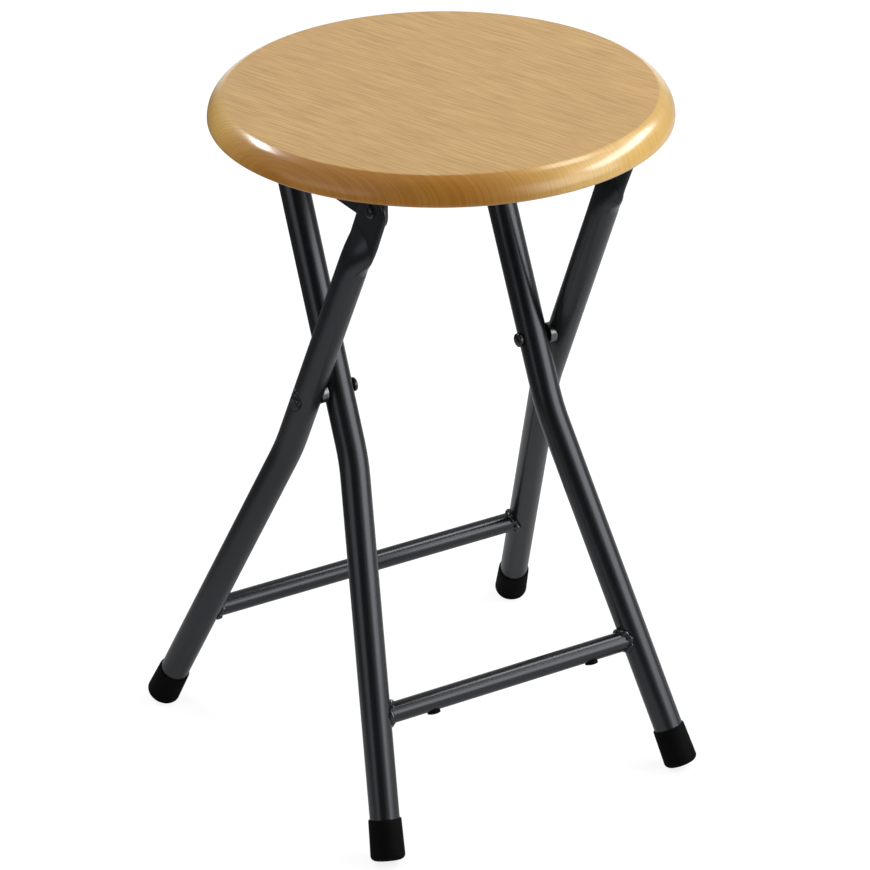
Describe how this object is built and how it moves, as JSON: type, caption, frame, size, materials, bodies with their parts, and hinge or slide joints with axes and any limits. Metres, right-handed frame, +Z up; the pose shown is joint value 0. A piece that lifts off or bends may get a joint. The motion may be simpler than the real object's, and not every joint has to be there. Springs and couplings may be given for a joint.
{
  "type": "folding stool",
  "caption": "Folding stool with a round wood seat on crossed dark tube legs that scissor flat as the seat flips up; stretchers and rubber feet.",
  "frame": {"origin": "on the floor, under the middle of the stool's box", "axes": "+X along the fold axis, +Y from the front feet to the back feet, +Z up"},
  "size_m": [0.3128, 0.3078, 0.4836],
  "materials": {
    "seat_wood": "satin lacquered light beech",
    "frame_paint": "satin charcoal powder coat",
    "foot_rubber": "matt black",
    "plug_rubber": "matt black",
    "zinc_steel": "bright zinc",
    "black_steel": "satin dark",
    "nylon": "matt black"
  },
  "bodies": {
    "outer_frame": {"outer_leg_left": "frame_paint", "outer_leg_right": "frame_paint", "rear_stretcher": "frame_paint", "rear_weld_left": "frame_paint", "rear_weld_right": "frame_paint", "pivot_pin_left": "black_steel", "pivot_pin_right": "black_steel", "pivot_spacer_left": "zinc_steel", "pivot_spacer_right": "zinc_steel", "pivot_cap_left": "black_steel", "pivot_cap_right": "black_steel", "rear_foot_left": "foot_rubber", "rear_foot_right": "foot_rubber"},
    "inner_frame": {"inner_frame_tube": "frame_paint", "front_stretcher": "frame_paint", "front_weld_left": "frame_paint", "front_weld_right": "frame_paint", "stretcher_plug_left": "plug_rubber", "stretcher_plug_right": "plug_rubber", "front_foot_left": "foot_rubber", "front_foot_right": "foot_rubber"},
    "seat": {"seat_panel": "seat_wood", "seat_rail_left": "frame_paint", "seat_rail_right": "frame_paint", "rail_screws_left": "zinc_steel", "rail_screws_right": "zinc_steel", "hinge_rivet_left": "black_steel", "hinge_rivet_right": "black_steel", "hinge_washer_left": "nylon", "hinge_washer_right": "nylon", "seat_saddle_left": "nylon", "seat_saddle_right": "nylon", "saddle_screw_left": "zinc_steel", "saddle_screw_right": "zinc_steel"}
  },
  "joints": [
    {"name": "fold", "type": "hinge", "parent": "outer_frame", "child": "inner_frame", "pos_m": [0, 0.004, 0.2854], "axis": [1, 0, 0], "range_deg": [0, 46.5]},
    {"name": "seat_flip", "type": "hinge", "parent": "outer_frame", "child": "seat", "pos_m": [0, -0.07572, 0.446], "axis": [1, 0, 0], "range_deg": [0, 116.25]}
  ],
  "couplings": [
    {"joint": "seat_flip", "follows": "fold", "ratio": 2.5}
  ]
}
